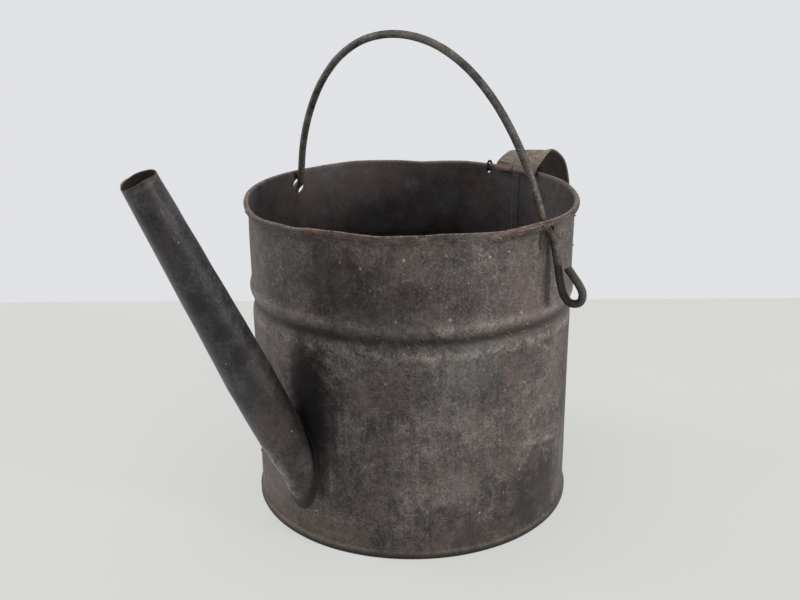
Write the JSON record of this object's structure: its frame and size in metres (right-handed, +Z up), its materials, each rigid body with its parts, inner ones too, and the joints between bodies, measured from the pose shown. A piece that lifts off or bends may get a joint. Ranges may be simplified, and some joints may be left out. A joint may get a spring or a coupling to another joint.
{
  "type": "watering can",
  "caption": "Rusty sheet-iron watering can: round drum with a beaded wall and wired rim, tapered spout low on one side, strap handle at the back and a swinging wire bail with hooked ends.",
  "frame": {"origin": "centre of the base's flat underside, on the drum's axis", "axes": "+Z up along the drum's axis, -X towards the spout, +X towards the strap handle"},
  "size_m": [0.3349, 0.2463, 0.2924],
  "materials": {
    "drum_iron": "dull dark brown rusted sheet iron with pale scuffs and purple-brown bloom",
    "rim_wire_iron": "rusted iron wire rolled into the rim",
    "base_iron": "dull rusted sheet iron, darker along the turned-up edge",
    "spout_iron": "dull rusted sheet iron with a lapped seam",
    "strap_iron": "rusted hemmed strip, worn brown on the grip",
    "bail_wire_iron": "smooth worn iron wire, faintly shiny",
    "tie_wire_iron": "thin dark rusted wire"
  },
  "bodies": {
    "can": {"drum_wall": "drum_iron", "rim_wire": "rim_wire_iron", "base_plate": "base_iron", "spout": "spout_iron", "strap_handle": "strap_iron", "tie_wire": "tie_wire_iron"},
    "bail": {"bail_handle": "bail_wire_iron"}
  },
  "joints": [
    {"name": "bail_swing", "type": "hinge", "parent": "can", "child": "bail", "pos_m": [0, 0, 0.1865], "axis": [-0.0671, 0.9977, 0], "range_deg": [-74, 83]}
  ]
}
